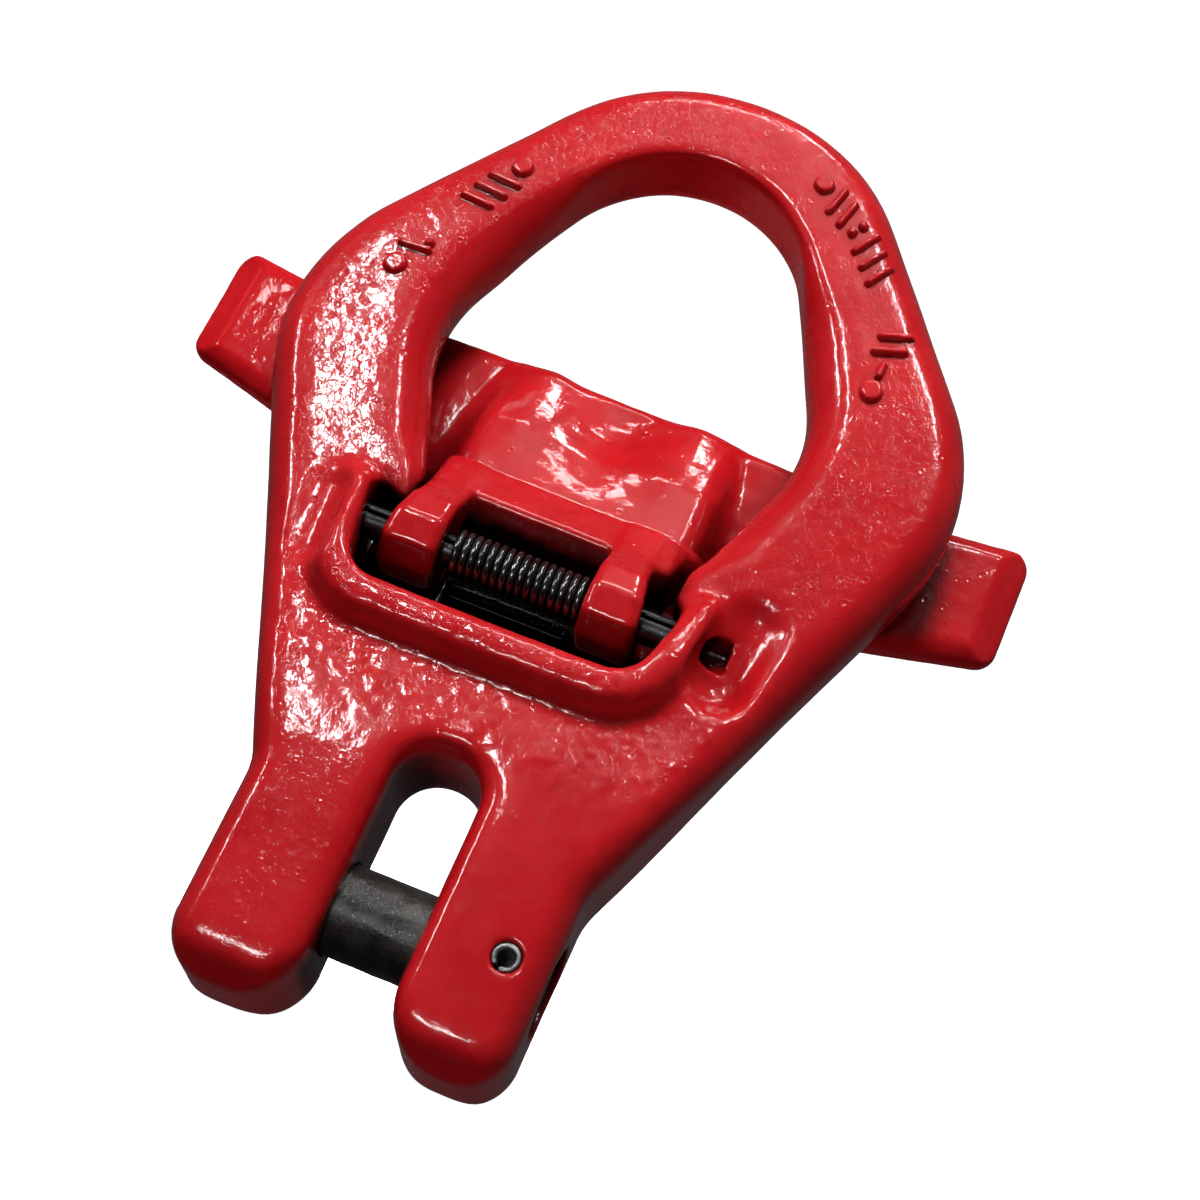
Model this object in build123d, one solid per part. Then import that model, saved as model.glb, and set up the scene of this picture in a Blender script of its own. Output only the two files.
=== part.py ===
from build123d import *
import math
import os

# Clevis lifting ring with a sprung latch, for 13 mm grade 80 chain. Millimetres.
# It hangs from its load pin: origin on the load pin's axis at mid-gap, +Z up along the
# load line, the ring below. X runs along both pins. The face with the raised pocket rim
# is toward -Y, and the latch flap lies behind the ring, toward +Y.
# Places are given as x, v (down from the load pin axis) and w (from the middle plane
# toward the front), so Z = -v and Y = -w.

THROUGH = 90.0            # half length of cuts that pass right through

# ---- load pin and clevis ----------------------------------------------------------
LOAD_PIN_D = 16.0
LOAD_PIN_BORE_D = 16.3
LOAD_PIN_HALF = 28.6
LOAD_PIN_CHAMFER = 1.0
CLEVIS_GAP = 15.5
CLEVIS_T = 28.0
CLEVIS_EDGE_R = 4.0
EAR_END = 20.9            # load pin axis up to the end of the ears
EAR_HALF_W = 30.5         # half the width over both ears
EAR_END_R = 8.0           # rounding of the ear ends, seen from the side
EAR_OUTER_R = 9.0         # corners of the ear ends, seen from the front
EAR_INNER_R = 11.0
SLOT_FLOOR_V = 29.0       # closed end of the chain slot
SLOT_FLOOR_R = CLEVIS_GAP / 2 - 0.25
NECK_V = 15.5             # where the ears start to widen into the body
NECK_R = 12.0

# ---- ring and eye -----------------------------------------------------------------
RING_T = 20.0
RING_EDGE_R = 6.0
EYE_EDGE_R = 4.0
FLANK_ANGLE = 22.5        # long flanks from the load line, degrees
BOW_FLANK_ANGLE = 36.0    # flanks of the bow from the load line, degrees
BOW_R = 41.5              # outside radius of the bow
BOW_V = 134.4             # centre of that radius
SHOULDER_R = 41.5
EYE_R = 24.8              # inside radius of the bow
EYE_V = 133.2             # centre the eye's bow flanks are set out from
EYE_FLANK_ANGLE = 23.4    # eye walls next to the bow, degrees
EYE_WALL_ANGLE = 7.1      # eye walls next to the clevis, degrees
EYE_HALF_AT_PIVOT = 28.5
EYE_SIDE_R = 12.0         # corner between the two pairs of eye walls
POCKET_END_V = 52.0       # clevis end of the eye
POCKET_R = 6.0
RIM_WIDTH = 7.0
RIM_TOP_WIDTH = RIM_WIDTH - 0.5
RIM_CREST_W = 15.5
RIM_END_V = 72.0
RIM_END_R = 5.0
RIM_TOP_R = 11.0
RIM_EDGE_R = 2.5

# ---- latch pivot and pins ---------------------------------------------------------
PIVOT_V = 64.4
PIVOT_W = 6.0
PIVOT_PIN_D = 6.0
PIVOT_PIN_L = 68.0
PIVOT_PIN_WALL = 1.25
PIVOT_PIN_SLOT = 1.4
PIVOT_BORE_D = 6.04
PIVOT_BORE_SPARE = 1.5    # blind end of the bore beyond the pin
RETAINER_D = 5.0
RETAINER_BORE_D = 5.04
RETAINER_X = -22.3
RETAINER_HALF = 13.2
RETAINER_WALL = 1.0
RETAINER_SLOT = 1.3
RETAINER_TURN = 40.0      # turn of its slot about its own axis, degrees
SPRING_PIN_CHAMFER = 0.35

# ---- latch flap -------------------------------------------------------------------
KNUCKLE_BORE_D = 6.14
KNUCKLE_R = 7.0
KNUCKLE_IN = 14.2
KNUCKLE_OUT = 24.8
SHIELD_R = 11.2           # outside radius of the spring shield round the pivot
SHIELD_RECESS_R = 7.6
PLATE_FRONT_W = -10.4
PLATE_BACK_W = -17.4
PLATE_END_V = 113.6
PLATE_MID_V = PLATE_END_V - 3.0
PLATE_EDGE_R = 2.0
WING_HALF = 80.0
BLOCK_HALF = 23.0

# ---- torsion spring ---------------------------------------------------------------
WIRE_D = 1.5
COIL_R = 4.0
COIL_TURNS = 16.25
COIL_PITCH = 1.58
COIL_L = COIL_TURNS * COIL_PITCH
LEG_R = WIRE_D / 2 + 0.01
LEG_OVERLAP = 0.5         # each leg starts this far back inside the coil
LEG_TO_BODY = 15.0
LEG_TO_LATCH = 10.5
SOCKET_R = 1.0
BODY_SOCKET_V = POCKET_END_V - 0.2  # middle of the socket
BODY_SOCKET_L = 5.4
LATCH_SOCKET_W = PIVOT_W - 9.5      # middle of the socket
LATCH_SOCKET_L = 7.0


# ---- shared shapes ----------------------------------------------------------------
def rounded_face(corners):
    """Closed polygon of (x, v, radius) corners, each rounded by its own radius."""
    points = [Vector(x, -v, 0) for x, v, _ in corners]
    count = len(points)
    starts, middles, ends = [], [], []
    for i, (_, _, radius) in enumerate(corners):
        point = points[i]
        if radius <= 0:
            starts.append(point)
            middles.append(None)
            ends.append(point)
            continue
        back = (points[i - 1] - point).normalized()
        ahead = (points[(i + 1) % count] - point).normalized()
        half_angle = math.acos(max(-1.0, min(1.0, back.dot(ahead)))) / 2
        setback = radius / math.tan(half_angle)
        centre = point + (back + ahead).normalized() * (radius / math.sin(half_angle))
        starts.append(point + back * setback)
        middles.append(centre + (point - centre).normalized() * radius)
        ends.append(point + ahead * setback)
    edges = []
    for i in range(count):
        if middles[i] is not None:
            edges.append(ThreePointArc(starts[i], middles[i], ends[i]))
        following = starts[(i + 1) % count]
        if (following - ends[i]).length > 1e-6:
            edges.append(Line(ends[i], following))
    return Face(Wire(edges))


def front_prism(half, w0, w1):
    """Half outline of (x, v, radius) corners, far end first, completed by its mirror
    image and extruded from w0 to w1."""
    mirror_half = [(-x, v, r) for x, v, r in reversed(half) if abs(x) > 1e-9]
    face = Plane.XZ * rounded_face(half + mirror_half)
    return Pos(0, -w0, 0) * extrude(face, w1 - w0)


def side_prism(points, x0, x1):
    """Side outline of (v, w) points extruded along X from x0 to x1."""
    face = Plane.YZ * make_face(Polyline(*[(-w, -v) for v, w in points], close=True))
    return Pos(x0, 0, 0) * extrude(face, x1 - x0)


def cylinder_x(radius, x0, x1, v=0.0, w=0.0):
    return Pos((x0 + x1) / 2, -w, -v) * Rot(0, 90, 0) * Cylinder(radius, x1 - x0)


def cylinder_y(radius, w0, w1, x=0.0, v=0.0):
    return Pos(x, -(w0 + w1) / 2, -v) * Rot(90, 0, 0) * Cylinder(radius, w1 - w0)


def soften(shape, edges, radius):
    """Fillet by the largest of a few radii that the solid takes."""
    for trial in (radius, radius * 0.75, radius * 0.5):
        # The kernel raises an error on a fillet it cannot build: go on to a smaller one.
        try:
            result = fillet(edges, trial)
            if result.is_valid and len(result.solids()) == len(shape.solids()):
                return result
        except Exception:
            continue
    return shape


def soften_at(shape, w, radius):
    """Soften the edges that lie in the plane at w."""
    return soften(shape, [e for e in shape.edges() if abs(e.center().Y + w) < 1e-3], radius)


def soften_faces(shape, half_t, radius, inner=False):
    """Soften the outer or inner loops of the front and back faces."""
    edges = []
    for face in shape.faces():
        if abs(abs(face.center().Y) - half_t) < 1e-3 and abs(face.normal_at().Y) > 0.99:
            wires = face.inner_wires() if inner else [face.outer_wire()]
            edges += [edge for wire in wires for edge in wire.edges()]
    return soften(shape, edges, radius)


def largest_solid(shape):
    return shape.solids().sort_by(SortBy.VOLUME)[-1]


def arc_points(v, w, radius, angles):
    """(v, w) points on an arc, angles in degrees from straight down toward the front."""
    return [
        (v + radius * math.cos(math.radians(a)), w + radius * math.sin(math.radians(a)))
        for a in angles
    ]


# ---- forged body ------------------------------------------------------------------
def bow_corners(wall_x0, wall_slope, flank_angle, centre_v, radius):
    """v of the bow's tip, then x and v where its flank, tangent to the bow circle,
    meets the wall x = wall_x0 + wall_slope * v."""
    cosine = math.cos(math.radians(flank_angle))
    sine = math.sin(math.radians(flank_angle))
    reach = centre_v * sine + radius
    side_v = (reach - cosine * wall_x0) / (cosine * wall_slope + sine)
    return reach / sine, wall_x0 + wall_slope * side_v, side_v


def body_outline():
    slope = math.tan(math.radians(FLANK_ANGLE))
    tip_v, shoulder_x, shoulder_v = bow_corners(
        EAR_HALF_W - NECK_V * slope, slope, BOW_FLANK_ANGLE, BOW_V, BOW_R
    )
    return [
        (0.0, tip_v, BOW_R),
        (shoulder_x, shoulder_v, SHOULDER_R),
        (EAR_HALF_W, NECK_V, NECK_R),
        (EAR_HALF_W, -EAR_END, EAR_OUTER_R),
        (CLEVIS_GAP / 2, -EAR_END, EAR_INNER_R),
        (CLEVIS_GAP / 2, SLOT_FLOOR_V, SLOT_FLOOR_R),
    ]


def make_fork(outline):
    """Clevis end, full thickness over the ears and easing down to the ring."""
    half_t = CLEVIS_T / 2
    front = arc_points(
        EAR_END_R - EAR_END, half_t - EAR_END_R, EAR_END_R, range(180, 89, -15)
    )
    front += [(25, half_t), (45, 11.2), (66, RING_T / 2 - 0.2)]
    side = front + [(v, -w) for v, w in reversed(front)]
    fork = soften_faces(front_prism(outline, -half_t, half_t), half_t, CLEVIS_EDGE_R)
    return fork & side_prism(side, -THROUGH, THROUGH)


def make_body():
    outline = body_outline()
    slope = math.tan(math.radians(EYE_WALL_ANGLE))
    wall_x0 = EYE_HALF_AT_PIVOT - PIVOT_V * slope
    pocket_x = wall_x0 + slope * POCKET_END_V
    tip_v, side_x, side_v = bow_corners(wall_x0, slope, EYE_FLANK_ANGLE, EYE_V, EYE_R)
    eye_half = [
        (0.0, tip_v, EYE_R),
        (side_x, side_v, EYE_SIDE_R),
        (pocket_x, POCKET_END_V, POCKET_R),
    ]
    eye = front_prism(eye_half, -THROUGH, THROUGH)

    ring = front_prism(outline, -RING_T / 2, RING_T / 2) - eye
    ring = soften_faces(ring, RING_T / 2, RING_EDGE_R)
    ring = soften_faces(ring, RING_T / 2, EYE_EDGE_R, inner=True)

    rim_half = [
        (wall_x0 + slope * RIM_END_V + RIM_WIDTH, RIM_END_V, RIM_END_R),
        (pocket_x + RIM_TOP_WIDTH, POCKET_END_V - RIM_TOP_WIDTH, RIM_TOP_R),
    ]
    rim = soften_at(front_prism(rim_half, 0, RIM_CREST_W), RIM_CREST_W, RIM_EDGE_R)
    body = ring + ((make_fork(outline) + rim) - eye)

    body -= cylinder_x(LOAD_PIN_BORE_D / 2, -THROUGH, THROUGH)
    body -= cylinder_y(RETAINER_BORE_D / 2, -THROUGH, THROUGH, RETAINER_X)
    # The pivot bore is open at -X and blind at +X.
    pivot_bore_end = PIVOT_PIN_L / 2 + PIVOT_BORE_SPARE
    body -= cylinder_x(PIVOT_BORE_D / 2, -THROUGH, pivot_bore_end, PIVOT_V, PIVOT_W)
    body = largest_solid(body)

    socket = Cylinder(SOCKET_R, BODY_SOCKET_L)
    return largest_solid(body - Pos(COIL_L / 2, -PIVOT_W - COIL_R, -BODY_SOCKET_V) * socket)


# ---- pins -------------------------------------------------------------------------
def make_load_pin():
    """Load pin, cross drilled for its retainer."""
    pin = cylinder_x(LOAD_PIN_D / 2, -LOAD_PIN_HALF, LOAD_PIN_HALF)
    pin = chamfer(pin.edges().filter_by(GeomType.CIRCLE), LOAD_PIN_CHAMFER)
    return pin - cylinder_y(RETAINER_BORE_D / 2, -THROUGH, THROUGH, RETAINER_X)


def slotted_pin(diameter, length, wall, slot):
    """Rolled pin on the Z axis, slot toward +X."""
    pin = Cylinder(diameter / 2, length)
    pin = chamfer(pin.edges().filter_by(GeomType.CIRCLE), SPRING_PIN_CHAMFER)
    pin = pin - Cylinder(diameter / 2 - wall, length + 2)
    return pin - Pos(diameter / 2, 0, 0) * Box(diameter, slot, length + 2)


def make_retaining_pin():
    pin = slotted_pin(RETAINER_D, 2 * RETAINER_HALF, RETAINER_WALL, RETAINER_SLOT)
    return Pos(RETAINER_X, 0, 0) * Rot(90, 0, 0) * Rot(0, 0, RETAINER_TURN) * pin


def make_pivot_pin():
    """Latch pivot pin, slot toward the front."""
    pin = slotted_pin(PIVOT_PIN_D, PIVOT_PIN_L, PIVOT_PIN_WALL, PIVOT_PIN_SLOT)
    return Pos(0, -PIVOT_W, -PIVOT_V) * Rot(-90, 0, 0) * Rot(0, 90, 0) * pin


# ---- latch flap with finger wings and two knuckles --------------------------------
PLATE_HALF = [  # x, v, corner radius
    (6.0, PLATE_MID_V, 6.0),
    (13.0, PLATE_END_V, 6.0),
    (60.0, PLATE_END_V - 1.0, 0.0),
    (WING_HALF, PLATE_END_V + 1.2, 3.5),
    (WING_HALF, 91.5, 3.5),
    (57.0, 85.5, 6.0),
    (26.0, 83.0, 4.0),
]


def from_pivot(*offsets):
    """(v, w) points from offsets down and toward the front from the pivot axis."""
    return [(PIVOT_V + down, PIVOT_W + front) for down, front in offsets]


BLOCK_SIDE = [  # v, w
    (PLATE_MID_V, PLATE_FRONT_W), (PLATE_MID_V, PLATE_BACK_W), (86.0, PLATE_BACK_W),
    *from_pivot((9.6, -14.5), (5.6, -9.7), (3.0, -7.6), (6.5, -6.6), (12.6, -2.0)),
    (85.0, -1.0), (98.0, -4.5),
]
ARM_SIDE = [  # v, w
    *from_pivot((-0.5, 6.9), (5.0, 5.0), (12.6, -0.6)),
    (85.0, -1.0), (86.0, -8.0),
    *from_pivot((9.6, -14.5), (5.6, -9.7), (0.0, -6.9)),
]
WEB_SIDE = from_pivot((0.0, -6.0), (0.0, -11.0), (5.6, -9.7), (9.0, -8.0), (4.0, -3.0))


def make_knuckle(x0, x1):
    barrel = cylinder_x(KNUCKLE_R, x0, x1, PIVOT_V, PIVOT_W)
    return side_prism(ARM_SIDE, x0, x1) + side_prism(WEB_SIDE, x0, x1) + barrel


def make_latch():
    plate = front_prism(PLATE_HALF, PLATE_BACK_W, PLATE_FRONT_W)
    plate = soften_at(plate, PLATE_FRONT_W, PLATE_EDGE_R)
    block = side_prism(BLOCK_SIDE, -BLOCK_HALF, BLOCK_HALF)
    shield_side = arc_points(PIVOT_V, PIVOT_W, SHIELD_R, range(-60, -129, -8))
    shield_side += arc_points(PIVOT_V, PIVOT_W, SHIELD_RECESS_R, range(-124, -51, 8))
    shield = side_prism(shield_side, -KNUCKLE_OUT, KNUCKLE_OUT)

    latch = plate + block + shield
    latch = latch + make_knuckle(KNUCKLE_IN, KNUCKLE_OUT)
    latch = latch + make_knuckle(-KNUCKLE_OUT, -KNUCKLE_IN)
    latch -= cylinder_x(KNUCKLE_BORE_D / 2, -THROUGH, THROUGH, PIVOT_V, PIVOT_W)
    latch = largest_solid(latch)

    socket = cylinder_y(
        SOCKET_R,
        LATCH_SOCKET_W - LATCH_SOCKET_L / 2,
        LATCH_SOCKET_W + LATCH_SOCKET_L / 2,
        x=-COIL_L / 2,
        v=PIVOT_V + COIL_R,
    )
    return largest_solid(latch - socket)


# ---- torsion spring on the pivot pin ----------------------------------------------
def make_leg(coil_end, direction, length):
    start = coil_end - Vector(direction) * LEG_OVERLAP
    plane = Plane(origin=start, z_dir=Vector(direction))
    return plane * Pos(0, 0, length / 2) * Cylinder(LEG_R, length)


def make_spring():
    """Wound left hand on its own axis Z; laid along -X with its own +X to the front."""
    path = Helix(COIL_PITCH, COIL_L, COIL_R, lefthand=True)
    profile = Plane(path @ 0, z_dir=path % 0) * Circle(WIRE_D / 2)
    coil = sweep(profile, path=path, is_frenet=True)
    leg_to_body = make_leg(path @ 0, (0, 1, 0), LEG_TO_BODY)
    leg_to_latch = make_leg(path @ 1, (-1, 0, 0), LEG_TO_LATCH)
    spring = (coil + leg_to_body + leg_to_latch).moved(Location((0, 0, -COIL_L / 2)))
    pivot = Plane(origin=(0, -PIVOT_W, -PIVOT_V), x_dir=(0, -1, 0), z_dir=(-1, 0, 0))
    return spring.moved(Location(pivot))


# ---- one STEP file per part -------------------------------------------------------
os.makedirs("parts", exist_ok=True)
for name, make_part in (
    ("forged_body", make_body),
    ("load_pin", make_load_pin),
    ("retaining_pin", make_retaining_pin),
    ("latch_flap", make_latch),
    ("latch_pivot_pin", make_pivot_pin),
    ("torsion_spring", make_spring),
):
    export_step(make_part(), f"parts/{name}.step")
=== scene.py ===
"""A red forged ring with a clevis above it and a sprung latch flap behind its eye.

The load pin lies along X through the origin, the load line runs down -Z and the front
faces -Y. The ring hangs below the clevis, and the flap turns on a pin along X.
"""

import math
import bpy
import numpy as np
from mathutils import Matrix, Vector


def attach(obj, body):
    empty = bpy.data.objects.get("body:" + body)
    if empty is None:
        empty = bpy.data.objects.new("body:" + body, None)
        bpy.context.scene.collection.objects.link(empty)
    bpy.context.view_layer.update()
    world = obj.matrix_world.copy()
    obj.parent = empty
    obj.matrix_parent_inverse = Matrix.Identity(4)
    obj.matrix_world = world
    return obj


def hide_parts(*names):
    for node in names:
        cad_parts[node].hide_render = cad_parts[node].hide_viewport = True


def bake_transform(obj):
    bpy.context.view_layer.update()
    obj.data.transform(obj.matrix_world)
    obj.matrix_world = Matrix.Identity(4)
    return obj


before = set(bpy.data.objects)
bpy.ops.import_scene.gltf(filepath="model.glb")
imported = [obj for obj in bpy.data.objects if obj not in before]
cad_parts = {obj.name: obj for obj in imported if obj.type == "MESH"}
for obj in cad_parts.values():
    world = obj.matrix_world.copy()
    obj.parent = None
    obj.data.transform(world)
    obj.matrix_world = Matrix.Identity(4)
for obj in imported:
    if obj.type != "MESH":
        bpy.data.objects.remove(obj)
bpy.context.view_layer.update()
MM = 0.001

# Modelling coordinates, in millimetres:
#   x      row X
#   down   distance down the load line from the load pin (row -Z)
#   front  distance in front of the middle plane (row -Y)


def to_row(x, down, front):
    return Vector((x, -front, -down))


# ------------------------------------------------------------------ distances and blends
# Signed distances are negative inside the material.
def rise(start, end, x):
    """Smooth step from 0 to 1."""
    t = np.clip((x - start) / (end - start), 0, 1)
    return t * t * (3 - 2 * t)


def fall(start, end, x):
    return 1 - rise(start, end, x)


def soft_min(a, b, blend):
    h = np.maximum(blend - np.abs(a - b), 0) / blend
    return np.minimum(a, b) - h * h * blend * 0.25


def soft_max(a, b, blend):
    return -soft_min(-a, -b, blend)


def round_edge(a, b, radius):
    """Where two distances are both negative, with the edge between them rounded."""
    x, y = a + radius, b + radius
    inside = np.minimum(np.maximum(x, y), 0)
    return inside + np.hypot(np.maximum(x, 0), np.maximum(y, 0)) - radius


def facet_edge(a, b, radius, crease=0.9):
    """Like round_edge, but with three forged facets and softened creases between them."""
    distance = soft_max(a, b, crease)
    for degrees in (21.0, 45.0, 69.0):
        cos, sin = math.cos(math.radians(degrees)), math.sin(math.radians(degrees))
        facet = (a + radius) * cos + (b + radius) * sin - radius
        distance = soft_max(distance, facet, crease)
    return distance


def segment_distance(coords, start, end):
    """Distance to a straight segment, in two or three dimensions."""
    axis = [e - s for s, e in zip(start, end)]
    offset = [c - s for c, s in zip(coords, start)]
    along = sum(o * a for o, a in zip(offset, axis)) / sum(a * a for a in axis)
    along = np.clip(along, 0, 1)
    return np.sqrt(sum((o - along * a) ** 2 for o, a in zip(offset, axis)))


def polygon_distance(x, y, polygon):
    """Signed distance to a closed polyline, worked out in chunks to save memory."""
    chunk = 20000
    x, y = np.broadcast_arrays(x, y)
    flat_x, flat_y = x.ravel(), y.ravel()
    start_x, start_y = polygon.T
    edge_x, edge_y = (np.roll(polygon, -1, 0) - polygon).T
    square = edge_x ** 2 + edge_y ** 2 + 1e-12
    out = np.empty(len(flat_x))
    for first in range(0, len(flat_x), chunk):
        here_x = flat_x[first:first + chunk, None]
        here_y = flat_y[first:first + chunk, None]
        from_x, from_y = here_x - start_x, here_y - start_y
        t = np.clip((from_x * edge_x + from_y * edge_y) / square, 0, 1)
        distance = np.sqrt(((from_x - t * edge_x) ** 2 + (from_y - t * edge_y) ** 2).min(1))
        spans = (start_y > here_y) != (start_y + edge_y > here_y)
        cut = start_x + edge_x * from_y / (edge_y + 1e-30)
        inside = (spans & (here_x < cut)).sum(1) % 2 == 1
        out[first:first + chunk] = np.where(inside, -distance, distance)
    return out.reshape(x.shape)


# ------------------------------------------------------------------ outlines
def unit(vector):
    return vector / np.linalg.norm(vector)


def safe_acos(cosine):
    return math.acos(max(-1.0, min(1.0, float(cosine))))


def rounded_polygon(points, radii, step=4.0):
    """Dense closed polyline of a polygon with each corner rounded, about `step` degrees apart."""
    corners = [np.array(p, float) for p in points]
    out = []
    for i, (corner, radius) in enumerate(zip(corners, radii)):
        if radius <= 0:
            out.append(corner)
            continue
        back = unit(corners[i - 1] - corner)
        ahead = unit(corners[(i + 1) % len(corners)] - corner)
        half = safe_acos(back @ ahead) / 2
        reach = radius / math.tan(half)
        centre = corner + unit(back + ahead) * (radius / math.sin(half))
        start = corner + back * reach - centre
        end = corner + ahead * reach - centre
        turn = safe_acos(start @ end / (radius * radius))
        count = max(4, int(math.degrees(turn) / step))
        for k in range(count + 1):
            f = k / count
            arc = math.sin((1 - f) * turn) * start + math.sin(f * turn) * end
            out.append(centre + arc / math.sin(turn))
    return np.array(out)


def mirrored(half, radii):
    """Corners and radii of a half outline with its mirror image; points at x = 0 stay single."""
    other = [((-x, y), r) for (x, y), r in zip(half[::-1], radii[::-1]) if x != 0]
    return half + [p for p, _ in other], radii + [r for _, r in other]


# ------------------------------------------------------------------ meshing
def make_grid(low, size, cell):
    """Open x, down and front axes of a regular grid."""
    return np.ix_(*[lo + np.arange(int(s / cell) + 1) * cell for lo, s in zip(low, size)])


def surface_nets(field, low, cell):
    """Closed quad mesh of field = 0, with one vertex in each cell the surface crosses."""
    inside = field < 0
    nx, ny, nz = field.shape
    corners = [(i, j, k) for i in (0, 1) for j in (0, 1) for k in (0, 1)]
    filled = np.zeros((nx - 1, ny - 1, nz - 1), np.int8)
    for i, j, k in corners:
        filled += inside[i:nx - 1 + i, j:ny - 1 + j, k:nz - 1 + k]
    active = (filled > 0) & (filled < 8)
    index = np.full(active.shape, -1, np.int64)
    cells = np.argwhere(active)
    index[active] = np.arange(len(cells))
    total = np.zeros((len(cells), 3))
    count = np.zeros(len(cells))
    ci, cj, ck = cells.T
    for a in corners:
        for axis in range(3):
            if a[axis] == 1:
                continue
            b = list(a)
            b[axis] = 1
            value_a = field[ci + a[0], cj + a[1], ck + a[2]]
            value_b = field[ci + b[0], cj + b[1], ck + b[2]]
            cut = (value_a < 0) != (value_b < 0)
            points = np.tile(np.array(a, float), (cut.sum(), 1))
            points[:, axis] += value_a[cut] / (value_a[cut] - value_b[cut])
            total[cut] += points
            count[cut] += 1
    verts = np.array(low) + (cells + total / count[:, None]) * cell
    faces = []
    for axis in range(3):
        second, third = (axis + 1) % 3, (axis + 2) % 3
        before, after = [slice(None)] * 3, [slice(None)] * 3
        before[axis], after[axis] = slice(0, -1), slice(1, None)
        inside_before = inside[tuple(before)]
        edges = np.argwhere(inside_before != inside[tuple(after)])
        keep = np.ones(len(edges), bool)
        for other in (second, third):
            keep &= (edges[:, other] > 0) & (edges[:, other] < field.shape[other] - 1)
        edges = edges[keep]
        quads = []
        for shift_2, shift_3 in ((0, 0), (-1, 0), (-1, -1), (0, -1)):
            around = edges.copy()
            around[:, second] += shift_2
            around[:, third] += shift_3
            quads.append(index[tuple(around.T)])
        quads = np.stack(quads, 1)
        flip = ~inside_before[tuple(edges.T)]
        quads[flip] = quads[flip][:, ::-1]
        faces.append(quads)
    return verts, np.concatenate(faces).tolist()


def interpolate(field, places):
    """Trilinear value of the field at places given in cells."""
    places = np.clip(places, 0, np.array(field.shape) - 1.001)
    base = np.floor(places).astype(int)
    t = places - base
    value = 0
    for a in (0, 1):
        for b in (0, 1):
            for c in (0, 1):
                weight = ((t[:, 0] if a else 1 - t[:, 0]) * (t[:, 1] if b else 1 - t[:, 1])
                          * (t[:, 2] if c else 1 - t[:, 2]))
                value = value + weight * field[base[:, 0] + a, base[:, 1] + b, base[:, 2] + c]
    return value


def field_normals(field, low, cell, points):
    """Unit gradient and value of the field at points."""
    places = (points - np.array(low)) / cell
    slope = np.stack([interpolate(field, places + e) - interpolate(field, places - e)
                      for e in np.eye(3) * 0.8], 1)
    slope /= np.linalg.norm(slope, axis=1)[:, None] + 1e-9
    return slope, interpolate(field, places)


def settle(verts, field, low, cell):
    """Pull the vertices most of the way onto the surface."""
    normals, value = field_normals(field, low, cell, verts)
    return verts - normals * np.clip(value, -cell, cell)[:, None] * 0.7


def make_mesh(name, verts, faces):
    """Smooth-shaded object from (x, down, front) millimetres."""
    x, down, front = np.asarray(verts, float).T
    mesh = bpy.data.meshes.new(name)
    mesh.from_pydata((np.stack([x, -front, -down], 1) * MM).tolist(), [], faces)
    mesh.validate()
    mesh.update()
    mesh.polygons.foreach_set("use_smooth", np.ones(len(mesh.polygons), bool))
    thing = bpy.data.objects.new(name, mesh)
    bpy.context.scene.collection.objects.link(thing)
    return thing


def skin_mesh(name, field, low, cell, relief):
    """Mesh of a field with its relief pushed out along the normals."""
    verts, faces = surface_nets(field, low, cell)
    for _ in range(2):
        verts = settle(verts, field, low, cell)
    normals, _ = field_normals(field, low, cell, verts)
    return make_mesh(name, verts + normals * relief(verts, normals)[:, None], faces)


def ring_faces(rings, around):
    """Quads joining consecutive closed rings of `around` vertices."""
    faces = []
    for i in range(rings - 1):
        for k in range(around):
            a, b = i * around + k, i * around + (k + 1) % around
            faces.append((a, b, b + around, a + around))
    return faces


def waves(points, seed, count, shortest, longest):
    """Smooth seeded noise of about unit size, wavelengths in millimetres."""
    rng = np.random.RandomState(seed)
    out = np.zeros(len(points))
    for _ in range(count):
        way = rng.normal(size=3)
        way /= np.linalg.norm(way)
        length = math.exp(rng.uniform(math.log(shortest), math.log(longest)))
        out += np.sin(points @ way * (2 * math.pi / length) + rng.uniform(0, 6.283))
    return out / math.sqrt(count / 2)


# ------------------------------------------------------------------ driving sizes
LIMB_SLOPE = math.radians(22.5)     # limbs spreading below the neck, from the load line
BOW_SLOPE = math.radians(36.0)      # sides closing towards the bow, from the load line's normal
BOW_RADIUS, BOW_DOWN = 41.5, 134.4
SHOULDER_RADIUS = 41.5
EAR_TOP, EAR_HALF = 20.9, 30.5      # ears: height above the load pin and half width
NECK_DOWN = 15.5
SLOT_DOWN, SLOT_WIDTH = 29.0, 15.5  # slot between the ears
EYE_RADIUS, EYE_DOWN, EYE_SLOPE = 24.2, 133.2, math.radians(23.4)
EYE_X = 1.1                         # the eye sits a little off the middle
POCKET_DOWN = 52.0                  # upper wall of the latch pocket
PIVOT_DOWN, PIVOT_FRONT = 64.4, 6.0
PIN_RADIUS, PIN_HALF = 8.0, 28.6    # load pin
RETAINING_X = -22.3
KNUCKLE_X, KNUCKLE_GAP = 3.7, 13.2  # middle of the knuckles and half the room between them
SPRING_X, TURNS, PITCH, COIL_RADIUS = 3.1, 15.75, 1.53, 4.0
SPRING_LENGTH = TURNS * PITCH


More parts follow.
